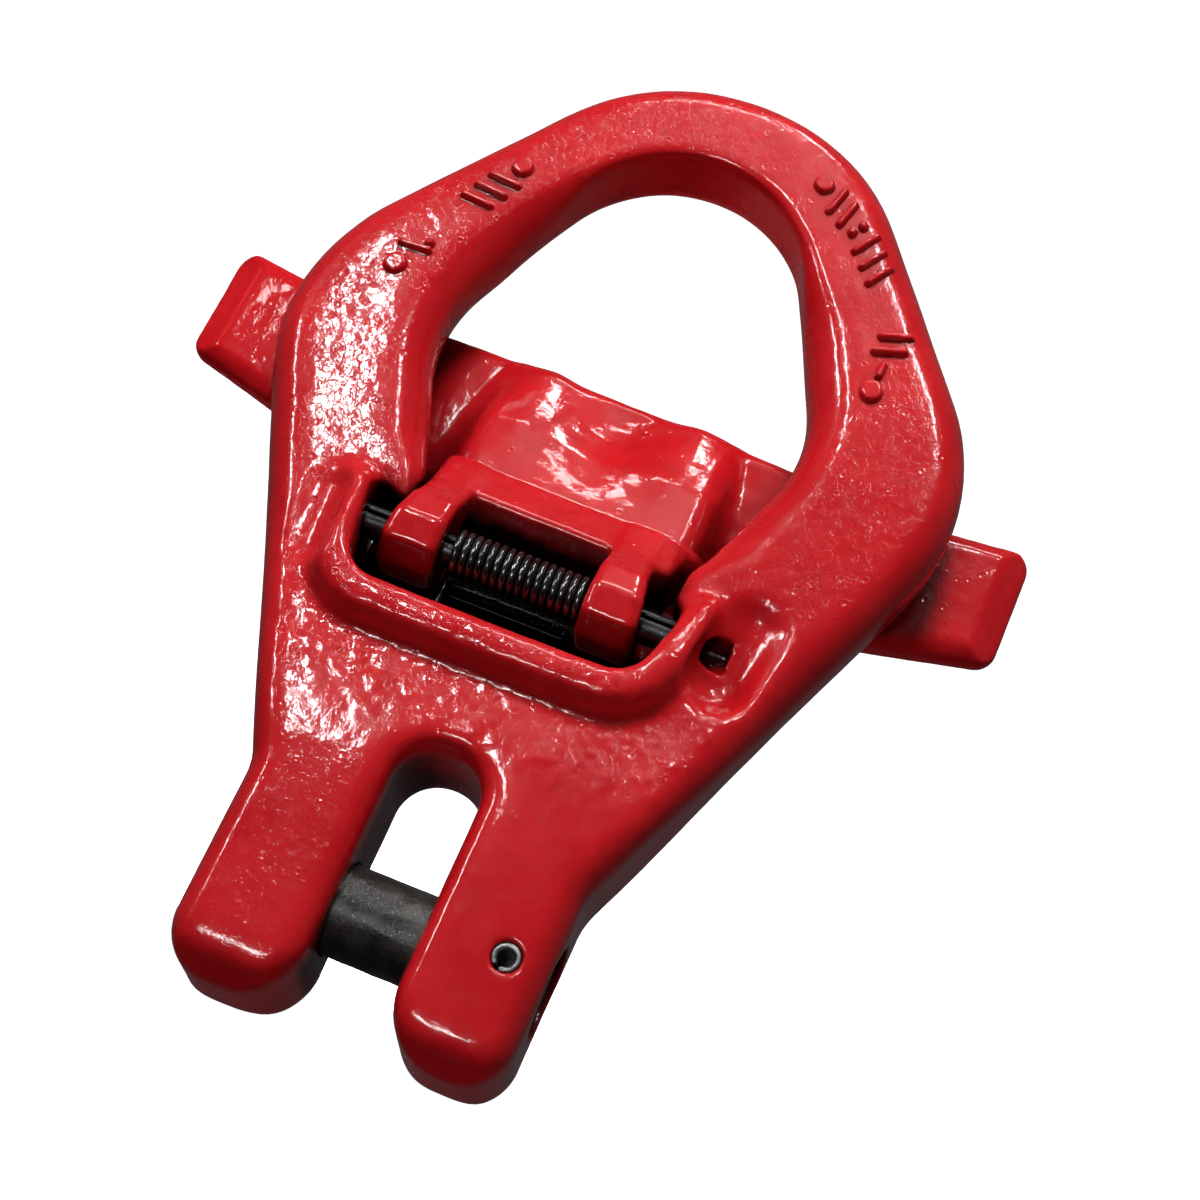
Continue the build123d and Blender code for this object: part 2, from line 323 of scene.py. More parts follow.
def make_outline():
    """Outer outline of the forging, from the bow up to the ears and the slot."""
    spread = math.tan(LIMB_SLOPE)
    bow_offset = BOW_DOWN * math.sin(BOW_SLOPE) + BOW_RADIUS
    limb_x = EAR_HALF - NECK_DOWN * spread      # limb line carried up to the load pin
    shoulder = ((bow_offset - math.cos(BOW_SLOPE) * limb_x)
                / (math.cos(BOW_SLOPE) * spread + math.sin(BOW_SLOPE)))
    corners = [(0.0, bow_offset / math.sin(BOW_SLOPE)), (limb_x + spread * shoulder, shoulder),
               (EAR_HALF, NECK_DOWN), (EAR_HALF, -EAR_TOP),
               (SLOT_WIDTH / 2, -EAR_TOP), (SLOT_WIDTH / 2, SLOT_DOWN)]
    radii = [BOW_RADIUS, SHOULDER_RADIUS, 12.0, 9.0, 11.5, SLOT_WIDTH / 2 - 0.25]
    return uneven(rounded_polygon(*mirrored(corners, radii)))


def uneven(polygon):
    """The forging's outline is not quite even from side to side."""
    x, down = polygon.T
    out = np.abs(x)
    wide = (0.8 * rise(20, 45, down) * fall(95, 120, down)
            + 0.45 * rise(95, 120, down) - 0.6 * fall(5, 25, down))
    shift = (-0.6 * rise(100, 128, down) + 0.6 * rise(14, 30, down) * fall(85, 112, down)
             + 0.55 * fall(0, 20, down))
    # the walls of the slot stay where they are
    free = rise(12, 22, out) + rise(100, 120, down) * fall(12, 22, out)
    x = x + (np.sign(x) * wide * rise(4, 14, out) + shift) * free
    return np.stack([x, down + 0.4 * rise(150, 170, down)], 1)


OUTLINE = make_outline()
# the eye and, above it, the latch pocket: (x, down) of each corner, radius of each corner
EYE = rounded_polygon(
    [(EYE_X, (EYE_DOWN * math.sin(EYE_SLOPE) + EYE_RADIUS) / math.sin(EYE_SLOPE)),
     (EYE_X + 37.05, 108.5), (26.2, 77.4), (25.8, 68.6), (33.6, 71.8), (32.1, 64.2),
     (29.9, POCKET_DOWN), (-22.9, POCKET_DOWN), (-25.9, 63.5), (-25.9, 67.9), (-23.6, 70.4),
     (-23.8, 77.4), (EYE_X - 37.05, 108.5)],
    [EYE_RADIUS, 30.0, 4.0, 1.6, 1.6, 4.0, 5.5, 6.5, 3.0, 1.0, 1.6, 4.0, 30.0])
# middle line of the raised rim round the pocket: (x, down)
RIM_LINE = [
    (36.1, 67.0), (35.6, 63.0), (34.9, 58.8), (33.6, 55.0), (31.3, 51.7), (28.5, 49.5),
    (25.5, 48.6), (10.0, 48.4), (-10.0, 48.4), (-18.5, 48.7), (-22.2, 50.0), (-25.0, 52.7),
    (-26.8, 56.4), (-28.2, 60.8), (-29.3, 64.6), (-30.3, 67.4)]
# hollows beside the rim: start and end (x, down, front), radius, blend
RIM_GROOVES = [
    ((-36.6, 59.0, 11.4), (-38.4, 70.0, 13.2), 6.2, 2.4),
    ((40.0, 55.0, 14.6), (40.6, 66.0, 14.6), 5.2, 2.0)]


# ------------------------------------------------------------------ forged body
def half_thickness(down):
    return 10.0 + 4.0 * fall(20, 60, down)


def outer_radius(down):
    """Outer edges: soft in the ring, tighter at the clevis."""
    return 6.2 + 2.0 * rise(20, 70, down)


def inner_radius(down):
    """Inner edges: nearly half round along the limbs, crisp at the bow and at the pocket."""
    return 3.2 + 6.2 * rise(70, 84, down) * fall(128, 152, down)


def body_holes(body, x, down, front):
    """Load pin bore flared at its mouths, retaining pin hole and pivot bore."""
    flare = 0.9 * (1 - (30.6 - np.abs(x)) / 1.2).clip(0, 1)
    body = np.maximum(body, -(np.hypot(down, front) - (PIN_RADIUS + 0.15) - flare))
    hole = np.hypot(x - RETAINING_X, down) - 2.52 - 0.75 * rise(13.0, 14.2, front)
    body = soft_max(body, -hole, 0.5)
    pivot = np.hypot(down - PIVOT_DOWN, front - PIVOT_FRONT) - 3.05
    return np.maximum(body, -np.maximum(np.maximum(pivot, x - 38.0), -36.2 - x))


def body_field(cell):
    low = (-66.0, -23.0, -16.5)
    x, down, front = make_grid(low, (132, 201.5, 34.5), cell)
    outer = polygon_distance(x, down, OUTLINE)
    eye = polygon_distance(x, down, EYE)            # positive in the metal round the eye
    half = half_thickness(down)
    # the bow is a little thinner behind
    faces = np.maximum(front - half, -front - half + 1.7 * rise(122, 150, down))

    near_slot = fall(14, 19, np.abs(x)) * fall(33, 40, down)
    radius = outer_radius(down) * (1 - near_slot) + 4.6 * near_slot
    plate = 0.4 * round_edge(outer, faces, radius) + 0.6 * facet_edge(outer, faces, radius)

    radius = inner_radius(down)
    radius = np.where(front > 0, radius, radius + 2.6 * rise(122, 150, down))
    faceted = 0.75 * rise(74, 84, down) * fall(128, 145, down)
    hole = (round_edge(-eye, faces, radius) * (1 - faceted)
            + facet_edge(-eye, faces, radius) * faceted)
    body = soft_max(plate, hole, 0.8)

    # the ears end round, seen from the side
    above, thick = -EAR_TOP - down, np.abs(front) - half
    ends = 0.3 * round_edge(above, thick, 8.5) + 0.7 * facet_edge(above, thick, 9.5, crease=0.6)
    body = soft_max(body, ends, 1.4)

    # raised rim round the pocket, on the front half only
    to_rim = np.inf
    for start, end in zip(RIM_LINE[:-1], RIM_LINE[1:]):
        to_rim = np.minimum(to_rim, segment_distance((x, down), start, end))
    top = 15.7 - 2.4 * rise(57, 69, down)
    rim = np.maximum(round_edge(to_rim - 4.0, front - top, 3.6), 2.0 - front)
    body = soft_min(body, rim, 3.8)
    for start, end, radius, blend in RIM_GROOVES:
        groove = segment_distance((x, down, front), start, end) - radius
        body = soft_max(body, -groove, blend)
    body = soft_max(body, -eye, 0.8)
    return body_holes(body, x, down, front), low


def body_relief(points, normals):
    """Slow waviness everywhere, hammered and pitted on the web and the limbs' faces."""
    x, down, front = points.T
    face = rise(0.75, 0.97, np.abs(normals[:, 2]))
    web = rise(26, 36, down) * fall(46, 60, down) * fall(34, 46, np.abs(x))
    limb = rise(66, 84, down) * fall(116, 134, down)
    slow = waves(points, seed=11, count=40, shortest=9, longest=26) * 0.022
    middle = waves(points, seed=12, count=60, shortest=3.0, longest=6.5)
    fine = waves(points, seed=13, count=60, shortest=1.7, longest=3.0)
    rough = face * (0.006 + 0.034 * web + 0.006 * limb)
    # calm at the pivot bore's edge
    to_bore = np.abs(np.hypot(down - PIVOT_DOWN, front - PIVOT_FRONT) - 3.05)
    keep = 1 - 0.9 * rise(1.0, 0.0, to_bore)
    return (slow + middle * rough + fine * rough * 0.75 + middle * 0.005) * keep


BODY_CELL = 0.62
body = skin_mesh("body_forging", *body_field(BODY_CELL), BODY_CELL, body_relief)


# ------------------------------------------------------------------ latch flap
FLAP_TILT, FLAP_SHIFT = 0.019, 2.4      # the flap hangs about a degree off square on its pin
# half outline of the plate and its wing: (x, down) of each corner, radius of each corner
FLAP_HALF = (
    [(7.0, 113.6), (30.0, 113.2), (58.0, 112.4), (81.6, 115.4),
     (81.6, 91.0), (57.0, 85.0), (33.0, 81.2), (29.0, 76.6)],
    [6.0, 0.0, 12.0, 3.6, 4.2, 10.0, 3.0, 3.0])
# side profiles: (down, front) of each corner from the pivot axis, radius of each corner
BLOCK_SIDE = (
    [(48.2, -16.0), (48.2, -23.6), (21.6, -23.6), (9.6, -14.5), (4.6, -10.0), (3.2, -7.4),
     (7.0, -6.4), (12.4, -1.2), (20.2, -5.2), (20.9, -8.2), (33.0, -10.4)],
    [2.6, 2.0, 4.0, 2.0, 1.0, 1.0, 1.5, 1.5, 0.6, 0.5, 10.0])
KNUCKLE_SIDE = (
    [(20.6, -5.4), (13.0, -0.9), (6.6, 5.6), (1.6, 7.5), (-3.6, 6.7), (-7.1, 2.2),
     (-7.1, -3.2), (-3.5, -9.4), (5.4, -10.4), (9.8, -14.0), (20.6, -13.0)],
    [1.0, 2.5, 2.0, 1.6, 2.0, 2.0, 2.0, 2.0, 1.5, 2.0, 1.0])
RECESS_SIDE = (
    [(12.2, -1.6), (6.8, -6.3), (3.4, -6.8), (0, -3), (-8, 4), (-8, 14), (13.5, 14)],
    [0, 2, 0, 0, 0, 0, 0])
# front line of the block that its cheeks slope back from: down and front, from the pivot axis
FACE_DOWN = [4.0, 12.4, 20.0, 21.5, 33.0, 48.2]
FACE_FRONT = [-6.0, -1.4, -6.0, -8.2, -10.6, -16.0]


def side_distance(down, front, side):
    points, radii = side
    placed = [(PIVOT_DOWN + a, PIVOT_FRONT + b) for a, b in points]
    return polygon_distance(down, front, rounded_polygon(placed, radii, step=8))


def look_up(table, down, front, low, cell):
    """Bilinear value of a (down, front) table that starts at low."""
    i = np.clip((down - low[1]) / cell, 0, table.shape[0] - 1.001)
    j = np.clip((front - low[2]) / cell, 0, table.shape[1] - 1.001)
    i0, j0 = np.floor(i).astype(int), np.floor(j).astype(int)
    a, b = i - i0, j - j0
    return ((1 - a) * (1 - b) * table[i0, j0] + a * (1 - b) * table[i0 + 1, j0]
            + (1 - a) * b * table[i0, j0 + 1] + a * b * table[i0 + 1, j0 + 1])


def flap_plate(x, front, flap_x, flap_down):
    """Plate with two wings, their front edges bevelled."""
    outline = rounded_polygon(*mirrored(*FLAP_HALF), step=8)
    edge = polygon_distance(flap_x, flap_down, outline)
    plate = round_edge(edge, np.abs(front + 14.1) - 3.75, 2.4 + 0.8 * rise(60, 78, np.abs(x)))
    out = np.abs(flap_x)
    tip = (out - 76.4) * 0.54 + (front + 10.35) * 0.84
    rim = (edge + 2.7) * 0.56 + (front + 10.35) * 0.83 - 9 * fall(56, 64, out)
    return soft_max(plate, np.maximum(tip, rim), 0.7)


def flap_block(down, front, flap_x, flap_down, low, cell):
    """Central block, with a shallow saddle across its lower end and sloping cheeks."""
    across = flap_x + 0.6
    out = np.abs(across)
    saddle = 3.4 * np.exp(-(across / 7.5) ** 2) - 1.0 * np.exp(-((out - 15) / 5.0) ** 2)
    dish = 1.3 * np.exp(-(across / 8.0) ** 2) - 0.5 * np.exp(-((out - 15.5) / 4.5) ** 2)
    # the saddle and the dish are shifts of the side profile
    side = look_up(side_distance(down, front, BLOCK_SIDE)[0],
                   flap_down + saddle * rise(92, 110, down),
                   front + dish * rise(86, 100, down), low, cell)
    face = PIVOT_FRONT + np.interp(down - PIVOT_DOWN, FACE_DOWN, FACE_FRONT)
    behind = np.clip(face - front, 0, 14)
    cheek = out - 22.6 - behind * (0.62 * rise(76, 84, down) + 0.05)
    return round_edge(side, cheek * 0.88, 2.0)


def spring_shield(x, radius, angle):
    """Part of a tube behind the coil."""
    shell = np.maximum(radius - 11.2, 7.6 - radius)
    limits = np.maximum(angle + 52, -128 - angle) * radius * math.pi / 180
    shell = soft_max(shell, limits, 1.2)
    ends = np.maximum(x - 31.4, -23.8 - x + 2.6 * rise(-100, -122, angle))
    return round_edge(shell, ends, 0.45)


def latch_field(cell):
    low = (-82.5, 51.0, -20.5)
    x, down, front = make_grid(low, (168.5, 66, 36.5), cell)
    flap_x = x + FLAP_TILT * (down - PIVOT_DOWN) - FLAP_SHIFT
    flap_down = down - FLAP_TILT * x
    latch = soft_min(flap_plate(x, front, flap_x, flap_down),
                     flap_block(down, front, flap_x, flap_down, low, cell), 2.2)

    radius = np.hypot(down - PIVOT_DOWN, front - PIVOT_FRONT)
    angle = np.degrees(np.arctan2(front - PIVOT_FRONT, down - PIVOT_DOWN))
    latch = soft_min(latch, spring_shield(x, radius, angle), 1.2)

    # knuckles: facetted fingers closing over the pin, drawn in towards the block
    out = np.abs(x - KNUCKLE_X)
    reach = 23.8 - 1.9 * rise(61, 75, down)
    knuckles = round_edge(side_distance(down, front, KNUCKLE_SIDE),
                          np.maximum(out - reach, KNUCKLE_GAP - out), 1.9)
    latch = soft_min(latch, knuckles, 1.3)

    # room for the coil between the knuckles, the pin's bore and a socket for the spring leg
    room = np.minimum(radius - 7.55, side_distance(down, front, RECESS_SIDE))
    latch = soft_max(latch, -np.maximum(room, out - KNUCKLE_GAP), 0.9)
    latch = np.maximum(latch, -(radius - 3.1))
    leg = np.hypot(x - SPRING_X + SPRING_LENGTH / 2, down - PIVOT_DOWN + COIL_RADIUS) - 1.0
    return np.maximum(latch, -np.maximum(leg, np.abs(front + 3.5) - 6.0)), low


def latch_relief(points, normals):
    """Gentle waviness, fading out at the pin's bore."""
    x, down, front = points.T
    slow = waves(points, seed=21, count=40, shortest=8, longest=22) * 0.028
    middle = waves(points, seed=22, count=60, shortest=2.6, longest=6.0)
    to_bore = np.abs(np.hypot(down - PIVOT_DOWN, front - PIVOT_FRONT) - 3.1)
    return (slow + middle * 0.014) * rise(0.4, 1.2, to_bore)


LATCH_CELL = 0.5
latch = skin_mesh("latch_flap_skin", *latch_field(LATCH_CELL), LATCH_CELL, latch_relief)


# ------------------------------------------------------------------ load pin
def make_load_pin():
    """Solid of revolution about X with broken ends and a slightly rough barrel."""
    around = 128
    # (x, radius) of one end
    end = [(-PIN_HALF, 0.01), (-PIN_HALF, 4.0), (-PIN_HALF, 6.9),
           (-28.45, 7.3), (-27.9, 7.85), (-27.4, PIN_RADIUS)]
    profile = end + [(x, PIN_RADIUS) for x in np.linspace(-27, 27, 80)]
    profile += [(-x, radius) for x, radius in reversed(end)]
    verts = []
    for x, radius in profile:
        for k in range(around):
            t = 2 * math.pi * k / around
            verts.append((x, radius * math.cos(t), radius * math.sin(t)))
    faces = ring_faces(len(profile), around)
    first, last = len(verts), len(verts) + 1
    verts += [(-PIN_HALF, 0.0, 0.0), (PIN_HALF, 0.0, 0.0)]
    end_ring = (len(profile) - 1) * around
    for k in range(around):
        following = (k + 1) % around
        faces.append((first, following, k))
        faces.append((last, end_ring + k, end_ring + following))
    verts = np.array(verts)
    spoke = verts * (0, 1, 1)
    radius = np.linalg.norm(spoke, axis=1)[:, None] + 1e-9
    rough = waves(verts, seed=3, count=60, shortest=1.6, longest=6.0) * 0.022
    verts = verts + spoke / radius * rough[:, None] * (radius > 1)
    return make_mesh("load_pin_turned", verts, faces)


load_pin = make_load_pin()


# ------------------------------------------------------------------ rolled spring pins
def rolled_pin(name, diameter, length, wall, slot, axis, centre, slot_way, stations):
    """Slotted tube with rounded lips and broken ends; vectors are (x, down, front)."""
    outer, inner = diameter / 2, diameter / 2 - wall
    middle = (outer + inner) / 2
    half = math.asin(min(0.95, slot / 2 / inner))
    far = 2 * math.pi - half
    sweep = 2 * math.pi - 2 * half
    steps = 56

    def arc(radius, start, turn):
        angles = [start + turn * k / steps for k in range(steps + 1)]
        return [(radius * math.cos(t), radius * math.sin(t)) for t in angles]

    def lip(place, start):
        x, y = middle * math.cos(place), middle * math.sin(place)
        size = (outer - inner) / 2
        angles = [start + math.pi * k / 4 for k in range(1, 4)]
        return [(x + size * math.cos(t), y + size * math.sin(t)) for t in angles]

    section = np.array(arc(outer, half, sweep) + lip(far, far)
                       + arc(inner, far, -sweep) + lip(half, half + math.pi))
    radii = np.hypot(section[:, 0], section[:, 1])
    # distance from the end of the pin, how far the wall is drawn in
    breaks = [(0.0, 0.30), (0.12, 0.12), (0.35, 0.0)]
    places = [(-length / 2 + gap, inset) for gap, inset in breaks]
    places += [(z, 0.0) for z in np.linspace(-length / 2 + 1, length / 2 - 1, stations)]
    places += [(length / 2 - gap, inset) for gap, inset in reversed(breaks)]
    axis, slot_way = np.array(axis, float), np.array(slot_way, float)
    side = unit(slot_way - axis * (slot_way @ axis))
    other = np.cross(axis, side)
    verts = []
    for z, inset in places:
        wall_radii = np.clip(radii - middle, -(middle - inner) + inset, (outer - middle) - inset)
        for a, b in section * ((middle + wall_radii) / radii)[:, None]:
            verts.append(np.array(centre) + axis * z + side * a + other * b)
    around = len(section)
    faces = ring_faces(len(places), around)
    # each end cap: a strip between outside and inside points, and one face at each lip
    inside = steps + 4
    cap = [(k, k + 1, inside + steps - k - 1, inside + steps - k) for k in range(steps)]
    cap.append(tuple(range(steps, inside + 1)))
    cap.append(tuple(range(inside + steps, around)) + (0,))
    faces += [face[::-1] for face in cap]
    base = (len(places) - 1) * around
    faces += [tuple(base + k for k in face) for face in cap]
    return make_mesh(name, verts, faces)


retaining_pin = rolled_pin(
    "retaining_pin_rolled", diameter=5.0, length=26.4, wall=1.0, slot=1.3, axis=(0, 0, 1),
    centre=(RETAINING_X, 0, 0), slot_way=(0.5, -1.0, 0), stations=12)
pivot_pin = rolled_pin(
    "pivot_pin_rolled", diameter=6.0, length=64.0, wall=1.25, slot=1.4, axis=(1, 0, 0),
    centre=(2.6, PIVOT_DOWN, PIVOT_FRONT), slot_way=(0, 0.42, 1), stations=60)


# ------------------------------------------------------------------ torsion spring
def spring_path():
    """Middle line of the wire: a leg, the coil and a second leg."""
    half = SPRING_LENGTH / 2
    # from the pocket's upper wall to the back of the coil
    points = [(half, q, -COIL_RADIUS) for q in np.linspace(-14.4, -0.6, 22)]
    count = int(TURNS * 40)
    for i in range(count + 1):
        t = 2 * math.pi * TURNS * i / count
        points.append((half - SPRING_LENGTH * i / count,
                       COIL_RADIUS * math.sin(t), -COIL_RADIUS * math.cos(t)))
    # off the coil, straight back into the flap's shield
    points += [(-half, -COIL_RADIUS, -q) for q in np.linspace(0.6, 8.8, 14)]
    return [(SPRING_X + x, PIVOT_DOWN + a, PIVOT_FRONT + b) for x, a, b in points]


def tube(name, path, radius, around=14):
    """Round wire along a path, with its ends broken."""
    path = np.array(path, float)
    tangents = np.gradient(path, axis=0)
    tangents /= np.linalg.norm(tangents, axis=1)[:, None]
    normals = np.zeros_like(path)
    normal = np.array([1.0, 0, 0])
    for i, tangent in enumerate(tangents):
        normal = unit(normal - tangent * (normal @ tangent))
        normals[i] = normal
    binormals = np.cross(tangents, normals)
    # path point, scale of the section, shift along the wire
    last = len(path) - 1
    rings = [(0, 0.55, 0.0), (0, 1.0, 0.12)]
    rings += [(i, 1.0, 0.0) for i in range(1, last)]
    rings += [(last, 1.0, -0.12), (last, 0.55, 0.0)]
    verts = []
    for i, scale, shift in rings:
        for k in range(around):
            t = 2 * math.pi * k / around
            spoke = normals[i] * math.cos(t) + binormals[i] * math.sin(t)
            verts.append(path[i] + tangents[i] * shift + spoke * radius * scale)
    faces = ring_faces(len(rings), around)
    faces.append(tuple(range(around))[::-1])
    faces.append(tuple(range((len(rings) - 1) * around, len(rings) * around)))
    return make_mesh(name, verts, faces)


spring = tube("torsion_spring_wound", spring_path(), radius=0.75)


# ------------------------------------------------------------------ raised marks
# name, x, down, turn in degrees, half length,
# strokes in the mark's own frame: start, end, half width
MARKS = [
    ("mark_left_low", 47.1, 115.3, 111.7, 7.0,
     [((-2.9, 0.0), (-2.7, 0.0), 2.1), ((1.2, -2.4), (3.4, 2.4), 0.66),
      ((4.6, 1.3), (4.8, 1.5), 0.8)]),
    ("mark_left_high", 37.3, 136.3, 116.1, 9.0,
     [((-6.6, -2.6), (-4.6, 2.6), 0.68), ((-3.2, -2.6), (-1.2, 2.6), 0.68),
      ((0.2, -2.6), (2.2, 2.6), 0.68), ((5.6, 0.0), (5.8, 0.0), 2.0)]),
    ("mark_right_high", -23.4, 157.0, -143.7, 8.6,
     [((-5.8, 0.0), (-5.6, 0.0), 1.9), ((-2.4, -2.5), (-0.4, 2.5), 0.68),
      ((1.0, -2.5), (3.0, 2.5), 0.68), ((5.6, -1.3), (5.8, -1.1), 0.85),
      ((5.6, 1.3), (5.8, 1.5), 0.85)]),
    ("mark_right_mid", -33.0, 148.2, -129.8, 8.2,
     [((-4.8, -2.7), (-3.0, 2.7), 0.68), ((-1.2, -2.7), (0.6, 2.7), 0.68),
      ((2.4, -2.7), (4.2, 2.7), 0.68)]),
    ("mark_right_low", -41.9, 128.1, 92.4, 11.0,
     [((-6.4, 0.0), (-6.2, 0.0), 2.1), ((-2.6, 0.0), (-0.4, 0.0), 0.7),
      ((1.8, -2.6), (3.8, 2.6), 0.68), ((5.2, -2.6), (7.2, 2.6), 0.68)])]
MARK_HALF_HEIGHT, MARK_DEPTH, MARK_CELL = 5.0, 0.75, 0.22


def front_skin(x, down):
    """Height of the forging's front skin above the middle plane."""
    outer, inner = outer_radius(down), inner_radius(down)
    a = np.clip(polygon_distance(x, down, OUTLINE) + outer, 0, outer * 0.97)
    b = np.clip(inner - polygon_distance(x, down, EYE), 0, inner * 0.97)
    return (half_thickness(down) - (outer - np.sqrt(outer ** 2 - a ** 2))
            - (inner - np.sqrt(inner ** 2 - b ** 2)))


def raised_mark(name, centre_x, centre_down, degrees, half_length, strokes):
    """Strokes with sloping sides and a softened top, standing off the front face."""
    low = (-half_length, -MARK_HALF_HEIGHT, -1.6)
    x, y, z = make_grid(low, (2 * half_length, 2 * MARK_HALF_HEIGHT, 3.2), MARK_CELL)
    flat = np.inf
    for start, end, half_width in strokes:
        flat = np.minimum(flat, segment_distance((x, y), start, end) - half_width)
    field = round_edge(flat + 0.45 * z, z - MARK_DEPTH, 0.3)
    field = np.maximum(field, -1.2 - z)
    verts, faces = surface_nets(field, low, MARK_CELL)
    x, y, z = settle(verts, field, low, MARK_CELL).T
    cos, sin = math.cos(math.radians(degrees)), math.sin(math.radians(degrees))
    place_x = centre_x + x * cos - y * sin
    down = centre_down + x * sin + y * cos
    return make_mesh(name, np.stack([place_x, down, front_skin(place_x, down) + z], 1), faces)


marks = [raised_mark(*row) for row in MARKS]


# ------------------------------------------------------------------ materials
class Material:
    """A Principled material on object coordinates; scale 1000 makes them millimetres."""

    def __init__(self, name, scale=1000.0):
        self.material = bpy.data.materials.new(name)
        self.material.use_nodes = True
        self.tree = self.material.node_tree
        self.tree.nodes.clear()
        self.output = self.node("OutputMaterial")
        self.shader = self.node("BsdfPrincipled")
        self.tree.links.new(self.shader.outputs[0], self.output.inputs[0])
        place = self.node("TexCoord").outputs["Object"]
        self.point = self.node("VectorMath", place, operation="SCALE", Scale=scale).outputs[0]

    def put(self, socket, value):
        """Link a socket or set a value; a colour is given without its alpha."""
        if isinstance(value, bpy.types.NodeSocket):
            self.tree.links.new(value, socket)
        elif isinstance(value, tuple) and socket.type == "RGBA":
            socket.default_value = (*value, 1.0)
        else:
            socket.default_value = value

    def node(self, kind, *values, **named):
        """New node; lower-case names are its settings, capitalised ones its sockets."""
        node = self.tree.nodes.new("ShaderNode" + kind)
        for key, value in named.items():
            if key.islower():
                setattr(node, key, value)
            else:
                self.put(node.inputs[key.replace("_", " ")], value)
        for socket, value in zip(node.inputs, values):
            self.put(socket, value)
        return node

    def set(self, **values):
        for key, value in values.items():
            self.put(self.shader.inputs[key.replace("_", " ")], value)

    def noise(self, size, detail=2.0, roughness=0.5, offset=None, output="Fac"):
        """Noise from 0 to 1 whose main wavelength is about `size`."""
        place = self.point
        if offset:
            place = self.node("VectorMath", place, offset, operation="ADD").outputs[0]
        return self.node("TexNoise", Vector=place, Scale=1.0 / size, Detail=detail,
                         Roughness=roughness).outputs[output]

    def math(self, operation, a, b=0.0):
        return self.node("Math", a, b, operation=operation).outputs[0]

    def product(self, first, *others):
        for other in others:
            first = self.math("MULTIPLY", first, other)
        return first

    def ramp(self, value, span, to=(0.0, 1.0), kind="SMOOTHSTEP"):
        return self.node("MapRange", interpolation_type=kind, Value=value,
                         From_Min=span[0], From_Max=span[1],
                         To_Min=to[0], To_Max=to[1]).outputs["Result"]

    def mix(self, factor, a, b):
        node = self.node("Mix", data_type="RGBA")
        for index, value in ((0, factor), (6, a), (7, b)):
            self.put(node.inputs[index], value)
        return node.outputs[2]

    def openness(self, distance):
        """Ambient occlusion over a distance in millimetres: 1 in the open."""
        node = self.node("AmbientOcclusion", samples=6, Distance=distance * MM)
        return self.math("POWER", node.outputs["AO"], 1.0)

    def axes(self, vector):
        return self.node("SeparateXYZ", vector).outputs

    def bump(self, height, depth, strength=1.0, base=None):
        """Bump with height in units of `depth` millimetres, over another bump if given."""
        node = self.node("Bump", Distance=depth * MM, Strength=strength, Height=height)
        if base is not None:
            self.put(node.inputs["Normal"], base)
        return node.outputs["Normal"]


FALLING = (1.0, 0.0)


def ragged_front(m, front):
    """The front coordinate with a torn edge, and the tearing itself."""
    noise = m.noise(size=2.2, detail=3, roughness=0.6)
    ragged = m.product(m.math("SUBTRACT", noise, 0.5), 1.6)
    return m.math("ADD", front, ragged), ragged


def latch_painted_shade(m, x, down, front):
    """Painted shade on the flap, as a mask: the shield's inside and the room for the coil are
    coloured near black.
    """
    a = m.math("SUBTRACT", down, PIVOT_DOWN)
    b = m.math("SUBTRACT", front, PIVOT_FRONT)
    radius = m.math("SQRT", m.math("ADD", m.product(a, a), m.product(b, b)))
    torn_front, _ = ragged_front(m, front)
    out = m.math("ABSOLUTE", m.math("SUBTRACT", x, KNUCKLE_X))
    shell = m.product(m.ramp(radius, (7.3, 7.9)), m.ramp(radius, (11.5, 12.4), to=FALLING),
                      m.ramp(torn_front, (1.2, 3.2), to=FALLING))
    recess = m.product(m.ramp(out, (13.0, 13.5), to=FALLING),
                       m.ramp(radius, (8.2, 9.4), to=FALLING))
    return m.math("MAXIMUM", shell, recess)


def body_painted_shade(m, x, down, front):
    """Painted shade on the forging, as a mask: the pocket behind the coil and the slot's walls are
    coloured near black.
    """
    torn_front, ragged = ragged_front(m, front)
    out = m.math("ABSOLUTE", m.math("SUBTRACT", x, 3.3))
    pocket = m.product(m.ramp(out, (28.6, 29.6), to=FALLING), m.ramp(down, (50.6, 51.4)),
                       m.ramp(down, (72.0, 76.0), to=FALLING),
                       m.ramp(torn_front, (6.0, 11.0), to=FALLING))
    slot = m.product(m.ramp(m.math("ABSOLUTE", x), (8.2, 9.0), to=FALLING),
                     m.ramp(m.math("ADD", down, ragged), (27.0, 31.0), to=FALLING),
                     m.ramp(torn_front, (5.0, 12.0), to=(0.72, 0.0)))
    return m.math("MAXIMUM", pocket, slot)


def paint_craters(m):
    """Scattered craters where thick paint dried over pits: a hollow with a raised lip."""
    size = 2.1
    warp = m.noise(size * 1.1, output="Color")
    warp = m.node("VectorMath", warp, operation="SCALE", Scale=0.9).outputs[0]
    place = m.node("VectorMath", m.point, warp, operation="ADD").outputs[0]
    cells = m.node("TexVoronoi", Vector=place, Scale=1.0 / size)
    chosen = m.ramp(m.node("SeparateColor", cells.outputs["Color"]).outputs[0], (0.66, 0.82))
    distance = cells.outputs["Distance"]
    hollow = m.ramp(distance, (0.10, 0.26), to=(-1.0, 0.0))
    lip = m.product(m.ramp(distance, (0.20, 0.30)), m.ramp(distance, (0.30, 0.44), to=FALLING))
    return m.product(m.math("ADD", hollow, m.product(lip, 0.55)), chosen)


